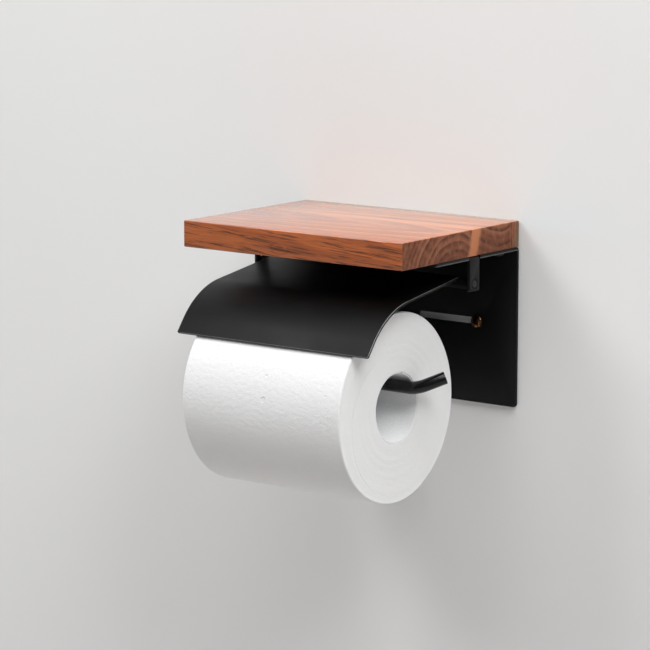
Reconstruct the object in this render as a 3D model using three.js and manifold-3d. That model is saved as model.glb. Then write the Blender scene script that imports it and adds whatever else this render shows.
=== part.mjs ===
// Wall-mounted toilet paper holder: a bent sheet-steel bracket carries a glued wooden shelf,
// a hinged sheet cover and an open-ended bar on which the paper roll turns.
// Millimetres. X runs along the wall, +Y points into the wall, +Z is up.
// The origin is on the back of the wall plate, at mid-width, level with the wall screws.
import * as THREE from 'three';
import { mergeVertices } from 'three/addons/utils/BufferGeometryUtils.js';
import Module from 'manifold-3d';

const wasm = await Module();
wasm.setup();

// ---- driving dimensions ----
const SHELF_WIDTH = 160;            // along X
const SHELF_DEPTH = 120;            // out from the wall
const SHELF_THICK = 16;
const SHELF_TOP_Z = 63.5;
const SHELF_BOTTOM_Z = SHELF_TOP_Z - SHELF_THICK;
const SHELF_EDGE_R = 1;             // eased edges
const STAVE_FRONT_Y = -50;          // glue line between front and middle stave
const STAVE_BACK_Y = -10;           // glue line between middle and back stave
const GLUE_LINE = 0.1;

const SHEET = 2;                    // bracket sheet thickness
const PLATE_WIDTH = 160;
const PLATE_BOTTOM_Z = -50;
const PLATE_CORNER_R = 2;
const BRACKET_BEND_R = 3;           // outside radius of each bend
const FLANGE_DEPTH = 87;
const SLOT_HALF_HEIGHT = 2.1;
const SLOT_INNER_X = 8;             // each slot runs from here
const SLOT_OUTER_X = 54.6;          // to here
const EAR_OUTER_X = PLATE_WIDTH / 2;
const EAR_MID_Y = -47;
const EAR_WIDTH = 10;
const EAR_BOTTOM_Z = 26.8;
const EAR_RELIEF = 0.8;             // narrow slits beside each ear, so that it bends cleanly
const EAR_HOLE_R = 2.9;

const HINGE_Y = EAR_MID_Y;
const HINGE_Z = 31.1;
const HINGE_PIN_R = 2.4;
const HINGE_TUBE_R = 3.5;
const HINGE_TUBE_BORE_R = 2.7;
const HINGE_TUBE_HALF = 77;

const COVER_HALF = 70;
const COVER_THICK = 1;
const COVER_CORNER_R = 2;
const COVER_SLOPE = 8.4;            // degrees, the straight part behind the curve
const COVER_CURVE_START_Y = -99.8;
const COVER_CURVE_R = 51.6;
const COVER_END_SLOPE = 53;         // degrees, at the front edge
const COVER_FRONT_Y = -139;

const ROLL_LENGTH = 114;
const ROLL_R = 56.3;
const ROLL_MID_X = 1;
const ROLL_Y = -94.2;
const ROLL_Z = -37.8;
const ROLL_EDGE_R = 2;
const CORE_BORE_R = 20.2;
const CORE_WALL = 0.8;
const WINDING_GAP = 0.1;

const BAR_R = 3.75;
const BAR_Y = -81.5;
const BAR_Z = -27.8;
const BAR_ARM_X = -67;              // the arm that runs back to the wall plate
const BAR_CORNER_X = 63.5;          // where the free tip starts to turn away
const BAR_BEND_R = 11;
const BAR_TIP_BEND_R = 14;
const BAR_TIP_LENGTH = 18;
const BAR_TIP_TURN = 45;            // degrees away from the bar
const BAR_TIP_RISE = 30;            // degrees, upward tilt of that turn

const WALL_SCREW_X = 51.9;
const WALL_SCREW_HEAD_R = 4.1;
const WALL_SCREW_HEAD_HEIGHT = 2.9;
const WALL_SCREW_SHANK_R = 1.9;
const WALL_SCREW_LENGTH = 30;
const SHELF_SCREW_HEAD_R = 3.5;
const SHELF_SCREW_HEAD_HEIGHT = 2.6;
const SHELF_SCREW_SHANK_R = 1.75;
const SHELF_SCREW_LENGTH = 14;
const SHELF_SCREW_CLEARANCE = 0.2;
const SHELF_SCREWS = {
  back_left: [-74.5, -14],
  back_right: [74.5, -14],
  front_left: [-60, -68],
  front_right: [60, -68],
};

const ROUND_SEGMENTS = 96;
const SCREW_SEGMENTS = 32;
const BAR_STEPS = 96;
const BAR_SEGMENTS = 12;             // curve divisions per half turn of the bar's section
const radians = THREE.MathUtils.degToRad;

// ---- solids and booleans ----
function toSolid(geometry) {
  const bare = geometry.clone();
  bare.deleteAttribute('normal');
  bare.deleteAttribute('uv');
  const welded = mergeVertices(bare, 1e-4);
  return new wasm.Manifold(new wasm.Mesh({
    numProp: 3,
    vertProperties: new Float32Array(welded.attributes.position.array),
    triVerts: new Uint32Array(welded.index.array),
  }));
}

function toGeometry(solid) {
  const mesh = solid.getMesh();
  const geometry = new THREE.BufferGeometry();
  geometry.setAttribute('position', new THREE.BufferAttribute(new Float32Array(mesh.vertProperties), 3));
  geometry.setIndex(new THREE.BufferAttribute(new Uint32Array(mesh.triVerts), 1));
  geometry.computeVertexNormals();
  return geometry;
}

function box(lo, hi) {
  const geometry = new THREE.BoxGeometry(hi[0] - lo[0], hi[1] - lo[1], hi[2] - lo[2]);
  geometry.translate((lo[0] + hi[0]) / 2, (lo[1] + hi[1]) / 2, (lo[2] + hi[2]) / 2);
  return toSolid(geometry);
}

function rodAlongX(radius, x0, x1, y, z, segments = ROUND_SEGMENTS / 2) {
  const geometry = new THREE.CylinderGeometry(radius, radius, x1 - x0, segments);
  geometry.rotateZ(Math.PI / 2);
  geometry.translate((x0 + x1) / 2, y, z);
  return toSolid(geometry);
}

function rodAlongY(radius, y0, y1, x, z, segments = 36) {
  const geometry = new THREE.CylinderGeometry(radius, radius, y1 - y0, segments);
  geometry.translate(x, (y0 + y1) / 2, z);
  return toSolid(geometry);
}

function rodAlongZ(radius, z0, z1, x, y, segments = 36) {
  const geometry = new THREE.CylinderGeometry(radius, radius, z1 - z0, segments);
  geometry.rotateX(Math.PI / 2);
  geometry.translate(x, y, (z0 + z1) / 2);
  return toSolid(geometry);
}

// a profile drawn in Y and Z, carried along X
function alongX(shape, x0, x1, curveSegments = 12) {
  const geometry = new THREE.ExtrudeGeometry(shape, { depth: x1 - x0, bevelEnabled: false, curveSegments });
  const frame = new THREE.Matrix4().makeBasis(
    new THREE.Vector3(0, 1, 0), new THREE.Vector3(0, 0, 1), new THREE.Vector3(1, 0, 0));
  geometry.applyMatrix4(frame);
  geometry.translate(x0, 0, 0);
  return toSolid(geometry);
}

// a profile drawn in X and Z, carried along Y
function alongY(shape, y0, y1, curveSegments = 12) {
  const geometry = new THREE.ExtrudeGeometry(shape, { depth: y1 - y0, bevelEnabled: false, curveSegments });
  geometry.rotateX(Math.PI / 2);
  geometry.translate(0, y1, 0);
  return toSolid(geometry);
}

// a profile drawn in X and Y, carried along Z
function alongZ(shape, z0, z1, curveSegments = 12) {
  const geometry = new THREE.ExtrudeGeometry(shape, { depth: z1 - z0, bevelEnabled: false, curveSegments });
  geometry.translate(0, 0, z0);
  return toSolid(geometry);
}

function roundedRectangle(u0, u1, v0, v1, r) {
  const shape = new THREE.Shape();
  shape.moveTo(u0 + r, v0);
  shape.lineTo(u1 - r, v0);
  shape.absarc(u1 - r, v0 + r, r, -Math.PI / 2, 0, false);
  shape.lineTo(u1, v1 - r);
  shape.absarc(u1 - r, v1 - r, r, 0, Math.PI / 2, false);
  shape.lineTo(u0 + r, v1);
  shape.absarc(u0 + r, v1 - r, r, Math.PI / 2, Math.PI, false);
  shape.lineTo(u0, v0 + r);
  shape.absarc(u0 + r, v0 + r, r, Math.PI, 1.5 * Math.PI, false);
  return shape;
}

// ---- the wooden shelf, glued up from three staves ----
function shelfBlank() {
  const half = SHELF_WIDTH / 2;
  const side = alongX(
    roundedRectangle(-SHELF_DEPTH, 0, SHELF_BOTTOM_Z, SHELF_TOP_Z, SHELF_EDGE_R), -half, half, 4);
  const front = alongY(
    roundedRectangle(-half, half, SHELF_BOTTOM_Z, SHELF_TOP_Z, SHELF_EDGE_R), -SHELF_DEPTH, 0, 4);
  return side.intersect(front);
}

function shelfStave(y0, y1) {
  const reach = SHELF_WIDTH;
  let stave = shelfBlank().intersect(box([-reach, y0, 0], [reach, y1, SHELF_TOP_Z + 10]));
  for (const [x, y] of Object.values(SHELF_SCREWS)) {
    if (y > y0 && y < y1) {
      const depth = SHELF_BOTTOM_Z - SHEET + SHELF_SCREW_LENGTH + 0.5;
      stave = stave.subtract(
        rodAlongZ(SHELF_SCREW_SHANK_R + SHELF_SCREW_CLEARANCE, SHELF_BOTTOM_Z - 1, depth, x, y));
    }
  }
  return stave;
}

// ---- the bracket: wall plate, flange under the shelf and two hinge ears, one bent sheet ----
function bracketProfile() {
  const outer = BRACKET_BEND_R;
  const inner = BRACKET_BEND_R - SHEET;
  const top = SHELF_BOTTOM_Z;
  const shape = new THREE.Shape();
  shape.moveTo(0, PLATE_BOTTOM_Z);
  shape.lineTo(0, top - outer);
  shape.absarc(-outer, top - outer, outer, 0, Math.PI / 2, false);
  shape.lineTo(-FLANGE_DEPTH, top);
  shape.lineTo(-FLANGE_DEPTH, top - SHEET);
  shape.lineTo(-outer, top - SHEET);
  shape.absarc(-outer, top - outer, inner, Math.PI / 2, 0, true);
  shape.lineTo(-SHEET, PLATE_BOTTOM_Z);
  return shape;
}

function earProfile() {
  // for the right-hand ear, in X and Z
  const outer = BRACKET_BEND_R;
  const inner = BRACKET_BEND_R - SHEET;
  const top = SHELF_BOTTOM_Z;
  const shape = new THREE.Shape();
  shape.moveTo(EAR_OUTER_X - 6, top);
  shape.lineTo(EAR_OUTER_X - 6, top - SHEET);
  shape.lineTo(EAR_OUTER_X - outer, top - SHEET);
  shape.absarc(EAR_OUTER_X - outer, top - outer, inner, Math.PI / 2, 0, true);
  shape.lineTo(EAR_OUTER_X - SHEET, EAR_BOTTOM_Z);
  shape.lineTo(EAR_OUTER_X, EAR_BOTTOM_Z);
  shape.lineTo(EAR_OUTER_X, top - outer);
  shape.absarc(EAR_OUTER_X - outer, top - outer, outer, 0, Math.PI / 2, false);
  return shape;
}

function wallBracket() {
  const half = PLATE_WIDTH / 2;
  let sheet = alongX(bracketProfile(), -half, half, 8);
  const plateOutline = roundedRectangle(-half, half, PLATE_BOTTOM_Z, SHELF_TOP_Z, PLATE_CORNER_R);
  sheet = sheet.intersect(alongY(plateOutline, -SHELF_DEPTH, 1, 6));
  const flangeOutline = roundedRectangle(-half, half, -FLANGE_DEPTH, 20, PLATE_CORNER_R);
  sheet = sheet.intersect(alongZ(flangeOutline, PLATE_BOTTOM_Z - 1, SHELF_TOP_Z, 6));
  const y0 = EAR_MID_Y - EAR_WIDTH / 2;
  const y1 = EAR_MID_Y + EAR_WIDTH / 2;
  const ear = alongY(earProfile(), y0, y1, 8);
  for (const side of [1, -1]) {
    const inside = side * (half - BRACKET_BEND_R - 1);
    const beyond = side * (half + 1);
    const lo = Math.min(inside, beyond);
    const hi = Math.max(inside, beyond);
    sheet = sheet.subtract(box(
      [lo, y0 - EAR_RELIEF, SHELF_BOTTOM_Z - SHEET - 1], [hi, y1 + EAR_RELIEF, SHELF_BOTTOM_Z + 1]));
    sheet = sheet.add(side > 0 ? ear : ear.mirror([1, 0, 0]));
    const slotLo = side > 0 ? SLOT_INNER_X : -SLOT_OUTER_X;
    const slotHi = side > 0 ? SLOT_OUTER_X : -SLOT_INNER_X;
    const slot = roundedRectangle(
      slotLo, slotHi, -SLOT_HALF_HEIGHT, SLOT_HALF_HEIGHT, SLOT_HALF_HEIGHT - 0.01);
    sheet = sheet.subtract(alongY(slot, -SHEET - 1, 1, 12));
  }
  sheet = sheet.subtract(rodAlongX(EAR_HOLE_R, -half - 1, half + 1, HINGE_Y, HINGE_Z));
  for (const [x, y] of Object.values(SHELF_SCREWS)) {
    sheet = sheet.subtract(rodAlongZ(
      SHELF_SCREW_SHANK_R + SHELF_SCREW_CLEARANCE,
      SHELF_BOTTOM_Z - SHEET - 1, SHELF_BOTTOM_Z + 1, x, y));
  }
  return sheet;
}

// ---- the hinged cover ----
function coverLine(offset) {
  // the outer face, moved inward by the given distance
  const slope = radians(COVER_SLOPE);
  const end = radians(COVER_END_SLOPE);
  const shift = (y, z, angle) => [y + offset * Math.sin(angle), z - offset * Math.cos(angle)];
  const points = [];
  const topZ = HINGE_Z + HINGE_TUBE_R;
  points.push(shift(HINGE_Y, topZ, slope));
  const curveY = COVER_CURVE_START_Y;
  const curveZ = topZ - (HINGE_Y - curveY) * Math.tan(slope);
  const steps = 24;
  for (let i = 0; i <= steps; i += 1) {
    const angle = slope + (end - slope) * i / steps;
    const y = curveY - COVER_CURVE_R * (Math.sin(angle) - Math.sin(slope));
    const z = curveZ - COVER_CURVE_R * (Math.cos(slope) - Math.cos(angle));
    points.push(shift(y, z, angle));
  }
  const lastY = curveY - COVER_CURVE_R * (Math.sin(end) - Math.sin(slope));
  const lastZ = curveZ - COVER_CURVE_R * (Math.cos(slope) - Math.cos(end));
  const run = lastY - COVER_FRONT_Y;
  points.push(shift(COVER_FRONT_Y, lastZ - run * Math.tan(end), end));
  return points;
}

function rollCover() {
  const outside = coverLine(0);
  const inside = coverLine(COVER_THICK).reverse();
  const shape = new THREE.Shape(outside.concat(inside).map(([y, z]) => new THREE.Vector2(y, z)));
  let sheet = alongX(shape, -COVER_HALF, COVER_HALF);
  const outline = roundedRectangle(-COVER_HALF, COVER_HALF, COVER_FRONT_Y, 20, COVER_CORNER_R);
  sheet = sheet.intersect(alongZ(outline, -100, 100, 6));
  const tubeRoom = rodAlongX(HINGE_TUBE_R + 0.1, -80, 80, HINGE_Y, HINGE_Z);
  return sheet.subtract(tubeRoom);
}

function hingeTube() {
  const outside = rodAlongX(HINGE_TUBE_R, -HINGE_TUBE_HALF, HINGE_TUBE_HALF, HINGE_Y, HINGE_Z);
  const bore = rodAlongX(HINGE_TUBE_BORE_R, -80, 80, HINGE_Y, HINGE_Z);
  return outside.subtract(bore);
}

function hingePin() {
  return rodAlongX(HINGE_PIN_R, -EAR_OUTER_X, EAR_OUTER_X, HINGE_Y, HINGE_Z);
}

// ---- the roll bar: arm from the wall plate, straight bar, free tip turned back and up ----
function barPath() {
  const path = new THREE.CurvePath();
  const armFoot = new THREE.Vector3(BAR_ARM_X, -SHEET, BAR_Z);
  const corner = new THREE.Vector3(BAR_ARM_X, BAR_Y, BAR_Z);
  const tipCorner = new THREE.Vector3(BAR_CORNER_X, BAR_Y, BAR_Z);
  const turn = radians(BAR_TIP_TURN);
  const rise = radians(BAR_TIP_RISE);
  const tipWay = new THREE.Vector3(
    Math.cos(turn), Math.sin(turn) * Math.cos(rise), Math.sin(turn) * Math.sin(rise));
  const tipEnd = tipCorner.clone().addScaledVector(tipWay, BAR_TIP_LENGTH);
  addBentLine(path, [armFoot, corner, tipCorner, tipEnd], [BAR_BEND_R, BAR_TIP_BEND_R]);
  return path;
}

// straight runs joined by true circular bends
function addBentLine(path, points, radii) {
  let from = points[0];
  for (let i = 1; i < points.length - 1; i += 1) {
    const into = points[i].clone().sub(points[i - 1]).normalize();
    const out = points[i + 1].clone().sub(points[i]).normalize();
    const angle = into.angleTo(out);
    const setback = radii[i - 1] * Math.tan(angle / 2);
    const start = points[i].clone().addScaledVector(into, -setback);
    path.add(new THREE.LineCurve3(from, start));
    const toCentre = out.clone().addScaledVector(into, -out.dot(into)).normalize();
    const centre = start.clone().addScaledVector(toCentre, radii[i - 1]);
    path.add(new BendCurve(centre, toCentre.clone().negate(), into, radii[i - 1], angle));
    from = points[i].clone().addScaledVector(out, setback);
  }
  path.add(new THREE.LineCurve3(from, points[points.length - 1]));
}

class BendCurve extends THREE.Curve {
  constructor(centre, outward, along, radius, angle) {
    super();
    Object.assign(this, { centre, outward, along, radius, angle });
  }

  getPoint(t, target = new THREE.Vector3()) {
    const a = t * this.angle;
    return target.copy(this.centre)
      .addScaledVector(this.outward, this.radius * Math.cos(a))
      .addScaledVector(this.along, this.radius * Math.sin(a));
  }
}

function rollBar() {
  const section = new THREE.Shape();
  section.absarc(0, 0, BAR_R, 0, 2 * Math.PI, false);
  const geometry = new THREE.ExtrudeGeometry(section, {
    steps: BAR_STEPS, bevelEnabled: false, extrudePath: barPath(), curveSegments: BAR_SEGMENTS,
  });
  return toSolid(geometry);
}

// ---- the paper roll and its card core ----
function ringAlongX(points) {
  // points are [radius, x]; the ring closes on itself
  const closed = points.concat([points[0]]).map(([r, x]) => new THREE.Vector2(r, x));
  const geometry = new THREE.LatheGeometry(closed, ROUND_SEGMENTS);
  geometry.rotateZ(-Math.PI / 2);
  geometry.translate(ROLL_MID_X, ROLL_Y, ROLL_Z);
  return toSolid(geometry);
}

function rollCore() {
  const half = ROLL_LENGTH / 2;
  return ringAlongX([
    [CORE_BORE_R, -half],
    [CORE_BORE_R + CORE_WALL, -half],
    [CORE_BORE_R + CORE_WALL, half],
    [CORE_BORE_R, half],
  ]);
}

function paperRoll() {
  const half = ROLL_LENGTH / 2;
  const inner = CORE_BORE_R + CORE_WALL + WINDING_GAP;
  const points = [[inner, -half]];
  const steps = 4;
  for (let i = 0; i <= steps; i += 1) {
    const a = (Math.PI / 2) * i / steps;
    points.push([
      ROLL_R - ROLL_EDGE_R + ROLL_EDGE_R * Math.sin(a),
      -half + ROLL_EDGE_R - ROLL_EDGE_R * Math.cos(a),
    ]);
  }
  for (let i = 0; i <= steps; i += 1) {
    const a = (Math.PI / 2) * i / steps;
    points.push([
      ROLL_R - ROLL_EDGE_R + ROLL_EDGE_R * Math.cos(a),
      half - ROLL_EDGE_R + ROLL_EDGE_R * Math.sin(a),
    ]);
  }
  points.push([inner, half]);
  return ringAlongX(points);
}

// ---- screws ----
function domedHead(radius, height) {
  // a head with a short straight rim and a domed top, standing on Z = 0
  const rim = height * 0.3;
  const points = [[0, 0], [radius, 0], [radius, rim]];
  const steps = 8;
  for (let i = 1; i < steps; i += 1) {
    const a = (Math.PI / 2) * i / steps;
    points.push([radius * Math.cos(a), rim + (height - rim) * Math.sin(a)]);
  }
  points.push([0, height]);
  const geometry = new THREE.LatheGeometry(points.map(([r, z]) => new THREE.Vector2(r, z)), SCREW_SEGMENTS);
  geometry.rotateX(Math.PI / 2);
  return toSolid(geometry);
}

function crossRecess(width, depth, height) {
  const arm = width * 0.22;
  const across = box([-width / 2, -arm / 2, height - depth], [width / 2, arm / 2, height + 1]);
  const along = box([-arm / 2, -width / 2, height - depth], [arm / 2, width / 2, height + 1]);
  return across.add(along);
}

function pointedShank(radius, length) {
  // hangs below Z = 0 and ends in a point
  const point = radius * 2.5;
  const points = [
    [0, -length], [radius * 0.25, -length + 0.4], [radius, -length + point], [radius, 0], [0, 0],
  ];
  const geometry = new THREE.LatheGeometry(points.map(([r, z]) => new THREE.Vector2(r, z)), SCREW_SEGMENTS);
  geometry.rotateX(Math.PI / 2);
  return toSolid(geometry);
}

function screw(headR, headHeight, shankR, length) {
  const head = domedHead(headR, headHeight).subtract(crossRecess(headR * 1.1, 1.3, headHeight));
  return head.add(pointedShank(shankR, length));
}

function wallScrew(x) {
  const solid = screw(WALL_SCREW_HEAD_R, WALL_SCREW_HEAD_HEIGHT, WALL_SCREW_SHANK_R, WALL_SCREW_LENGTH);
  return solid.rotate([0, 0, 45]).rotate([90, 0, 0]).translate([x, -SHEET, 0]);
}

function shelfScrew([x, y]) {
  const solid = screw(
    SHELF_SCREW_HEAD_R, SHELF_SCREW_HEAD_HEIGHT, SHELF_SCREW_SHANK_R, SHELF_SCREW_LENGTH);
  return solid.rotate([180, 0, 0]).translate([x, y, SHELF_BOTTOM_Z - SHEET]);
}

// ---- assembly ----
const FINISHES = {
  wood: { color: 0xb9764a, roughness: 0.62, metalness: 0 },
  coat: { color: 0x17181a, roughness: 0.45, metalness: 0.3 },
  screw: { color: 0x15161a, roughness: 0.4, metalness: 0.6 },
  bronze: { color: 0x8a6238, roughness: 0.35, metalness: 0.9 },
  paper: { color: 0xf2f2f0, roughness: 0.95, metalness: 0 },
  card: { color: 0xcbc3b4, roughness: 0.95, metalness: 0 },
};

const holder = new THREE.Group();
holder.name = 'toilet_paper_holder';

function addPiece(name, solid, finish) {
  const mesh = new THREE.Mesh(toGeometry(solid), new THREE.MeshStandardMaterial(FINISHES[finish]));
  mesh.name = name;
  holder.add(mesh);
}

addPiece('wall_bracket', wallBracket(), 'coat');
const seam = GLUE_LINE / 2;
addPiece('shelf_stave_front', shelfStave(-SHELF_DEPTH - 1, STAVE_FRONT_Y - seam), 'wood');
addPiece('shelf_stave_middle', shelfStave(STAVE_FRONT_Y + seam, STAVE_BACK_Y - seam), 'wood');
addPiece('shelf_stave_back', shelfStave(STAVE_BACK_Y + seam, 1), 'wood');
for (const [place, spot] of Object.entries(SHELF_SCREWS)) {
  addPiece(`shelf_screw_${place}`, shelfScrew(spot), 'screw');
}
addPiece('hinge_pin', hingePin(), 'coat');
addPiece('hinge_tube', hingeTube(), 'coat');
addPiece('roll_cover', rollCover(), 'coat');
addPiece('roll_bar', rollBar(), 'coat');
addPiece('wall_screw_left', wallScrew(-WALL_SCREW_X), 'bronze');
addPiece('wall_screw_right', wallScrew(WALL_SCREW_X), 'bronze');
addPiece('roll_core', rollCore(), 'card');
addPiece('paper_roll', paperRoll(), 'paper');

export default holder;
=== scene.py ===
import math
import random

import bmesh
import bpy
from mathutils import Matrix, Vector
from mathutils.geometry import delaunay_2d_cdt


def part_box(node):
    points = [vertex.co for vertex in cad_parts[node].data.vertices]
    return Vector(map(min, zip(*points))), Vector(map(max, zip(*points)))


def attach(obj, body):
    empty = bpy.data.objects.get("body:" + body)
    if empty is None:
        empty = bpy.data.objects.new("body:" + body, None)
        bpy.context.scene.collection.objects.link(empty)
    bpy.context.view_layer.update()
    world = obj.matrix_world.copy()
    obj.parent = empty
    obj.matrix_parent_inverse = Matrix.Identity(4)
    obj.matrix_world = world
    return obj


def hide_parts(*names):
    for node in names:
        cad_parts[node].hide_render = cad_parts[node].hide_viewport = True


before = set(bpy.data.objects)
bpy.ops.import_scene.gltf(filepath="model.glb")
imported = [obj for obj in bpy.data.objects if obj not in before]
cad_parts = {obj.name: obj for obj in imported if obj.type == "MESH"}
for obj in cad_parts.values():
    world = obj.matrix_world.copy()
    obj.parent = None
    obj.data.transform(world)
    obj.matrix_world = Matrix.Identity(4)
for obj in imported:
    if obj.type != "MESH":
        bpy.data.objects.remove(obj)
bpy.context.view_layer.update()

MM = 0.001

# ---------------------------------------------------------------------------
# Sizes, worked out from the frame
# ---------------------------------------------------------------------------
BRACKET_LO, BRACKET_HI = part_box("wall_bracket")
TUBE_LO, TUBE_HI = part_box("hinge_tube")
PIN_LO, PIN_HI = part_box("hinge_pin")
COVER_LO, COVER_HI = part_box("roll_cover")
BAR_LO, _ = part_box("roll_bar")
CORE_LO, CORE_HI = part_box("roll_core")
ROLL_LO, ROLL_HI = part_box("paper_roll")
FRONT_LO, FRONT_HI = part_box("shelf_stave_front")
MIDDLE_LO, MIDDLE_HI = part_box("shelf_stave_middle")
BACK_LO, BACK_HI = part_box("shelf_stave_back")

HALF_SPAN = BRACKET_HI.x
SHEET = 2.0 * MM                      # bracket sheet
BEND_R = 2.4 * MM                     # outside of each bend
FLANGE_FRONT_Y = BRACKET_LO.y
EAR_MID_Y = (TUBE_LO.y + TUBE_HI.y) / 2
EAR_HALF = 5.0 * MM
EAR_BOTTOM_Z = 26.8 * MM
EAR_HOLE_R = 2.9 * MM
EAR_RELIEF = 0.8 * MM
SLOT_HALF = 2.1 * MM
SLOT_INNER = 8.0 * MM
SLOT_OUTER = 54.6 * MM
PLATE_CORNER_R = 2.0 * MM

HINGE = Vector((0, EAR_MID_Y, (TUBE_LO.z + TUBE_HI.z) / 2))
HINGE_TUBE_R = (TUBE_HI.z - TUBE_LO.z) / 2
HINGE_BORE_R = 2.7 * MM
HINGE_PIN_R = (PIN_HI.z - PIN_LO.z) / 2

COVER_THICK = 1.25 * MM               # a little more than the bare sheet: it carries the coat
COVER_SLOPE = math.radians(8.4)
COVER_END_SLOPE = math.radians(53)
COVER_CURVE_Y = -99.8 * MM
COVER_CURVE_R = 51.6 * MM
COVER_CORNER_R = 0.9 * MM

ROLL_AXIS = Vector((0, (ROLL_LO.y + ROLL_HI.y) / 2, (ROLL_LO.z + ROLL_HI.z) / 2))
ROLL_R = (ROLL_HI.z - ROLL_LO.z) / 2
CORE_R = (CORE_HI.z - CORE_LO.z) / 2
CORE_BORE_R = 20.2 * MM

BAR_R = 3.75 * MM
BAR_ARM_X = BAR_LO.x + BAR_R
BAR_Y = BAR_LO.y + BAR_R
BAR_Z = BAR_LO.z + BAR_R
BAR_CORNER_X = 63.5 * MM
BAR_BEND_R = 11.0 * MM
BAR_TIP_BEND_R = 14.0 * MM
BAR_TIP_LENGTH = 18.0 * MM
BAR_TIP_TURN = math.radians(45)
BAR_TIP_RISE = math.radians(30)
BAR_FOOT = 0.2 * MM                   # how far the bar's foot sinks into the plate

CORNER_EASE = 0.3                     # middle point of an eased corner, as a share of its size
FLAT_ENOUGH = math.radians(0.3)       # faces of a blank closer than this are made one


# ---------------------------------------------------------------------------
# Mesh helpers
# ---------------------------------------------------------------------------
def new_object(name, data):
    piece = bpy.data.objects.new(name, data)
    bpy.context.scene.collection.objects.link(piece)
    return piece


def smooth_below(bm, degrees):
    """Smooth shading, kept crisp where two faces meet at more than this angle."""
    limit = math.radians(degrees)
    for face in bm.faces:
        face.smooth = True
    for edge in bm.edges:
        edge.smooth = len(edge.link_faces) == 2 and edge.calc_face_angle(0.0) < limit


def object_from_bmesh(name, bm, smooth_angle=35):
    """A new piece, its faces turned outward."""
    bmesh.ops.recalc_face_normals(bm, faces=bm.faces)
    smooth_below(bm, smooth_angle)
    mesh = bpy.data.meshes.new(name)
    bm.to_mesh(mesh)
    bm.free()
    return new_object(name, mesh)


def shade_by_angle(piece, degrees):
    bm = bmesh.new()
    bm.from_mesh(piece.data)
    smooth_below(bm, degrees)
    bm.to_mesh(piece.data)
    bm.free()


def bridge(bm, here, there, closed=True):
    """Faces between two rows of as many points; closed: the rows are rings."""
    for j in range(len(here) if closed else len(here) - 1):
        k = (j + 1) % len(here)
        bm.faces.new((here[j], there[j], there[k], here[k]))


def cap_ends(bm, rings):
    """Closes the first and the last of a row of rings."""
    bm.faces.new(rings[0])
    bm.faces.new(list(reversed(rings[-1])))


def apply_modifiers(piece):
    """Turns a piece's modifiers into plain mesh."""
    depsgraph = bpy.context.evaluated_depsgraph_get()
    mesh = bpy.data.meshes.new_from_object(piece.evaluated_get(depsgraph))
    piece.modifiers.clear()
    old = piece.data
    piece.data = mesh
    mesh.name = piece.name
    bpy.data.meshes.remove(old)


def spread(start, run, steps):
    """Evenly spaced places from start to start + run."""
    return [start + run * i / steps for i in range(steps + 1)]


def arc(cu, cv, r, start, end, steps):
    """Points of an arc in a plane, angles in degrees."""
    return [(cu + r * math.cos(a), cv + r * math.sin(a))
            for a in map(math.radians, spread(start, end - start, steps))]


def lathe(name, outline, axis_at, segments, axis="X", closed=True):
    """Turns an outline of (radius, place along the axis) about a line through axis_at."""
    bm = bmesh.new()
    rings = []
    for i in range(segments):
        a = 2 * math.pi * i / segments
        ring = []
        for r, t in outline:
            u, v = r * math.cos(a), r * math.sin(a)
            place = {"X": (t, u, v), "Z": (u, v, t)}[axis]
            ring.append(bm.verts.new(Vector(place) + axis_at))
        rings.append(ring)
    for here, there in zip(rings, rings[1:] + rings[:1]):
        bridge(bm, here, there, closed)
    bmesh.ops.remove_doubles(bm, verts=bm.verts, dist=1e-6)
    return object_from_bmesh(name, bm)


def tube_outline(bore_r, outer_r, x0, x1, edge, eased_r):
    """The wall of a tube for lathe, its corners broken; those at eased_r get a point in the middle."""
    outline = []
    for r, x, r_way, x_way in ((bore_r, x0, 1, 1), (outer_r, x0, -1, 1),
                               (outer_r, x1, -1, -1), (bore_r, x1, 1, -1)):
        corner = [(r + r_way * edge * r_cut, x + x_way * edge * x_cut)
                  for r_cut, x_cut in ((0, 1), (CORNER_EASE, CORNER_EASE), (1, 0))
                  if r_cut != CORNER_EASE or r == eased_r]
        outline += corner if r_way == x_way else reversed(corner)
    return outline


def bent_line(points, radii, steps):
    """Straight runs joined by circular bends: a list of points along the middle of a bent rod."""
    line = [points[0]]
    for i in range(1, len(points) - 1):
        into = (points[i] - points[i - 1]).normalized()
        out = (points[i + 1] - points[i]).normalized()
        angle = into.angle(out)
        radius = radii[i - 1]
        start = points[i] - into * radius * math.tan(angle / 2)
        to_centre = (out - into * out.dot(into)).normalized()
        centre = start + to_centre * radius
        for j in range(steps + 1):
            a = angle * j / steps
            line.append(centre - to_centre * radius * math.cos(a) + into * radius * math.sin(a))
    line.append(points[-1])
    return line


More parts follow.
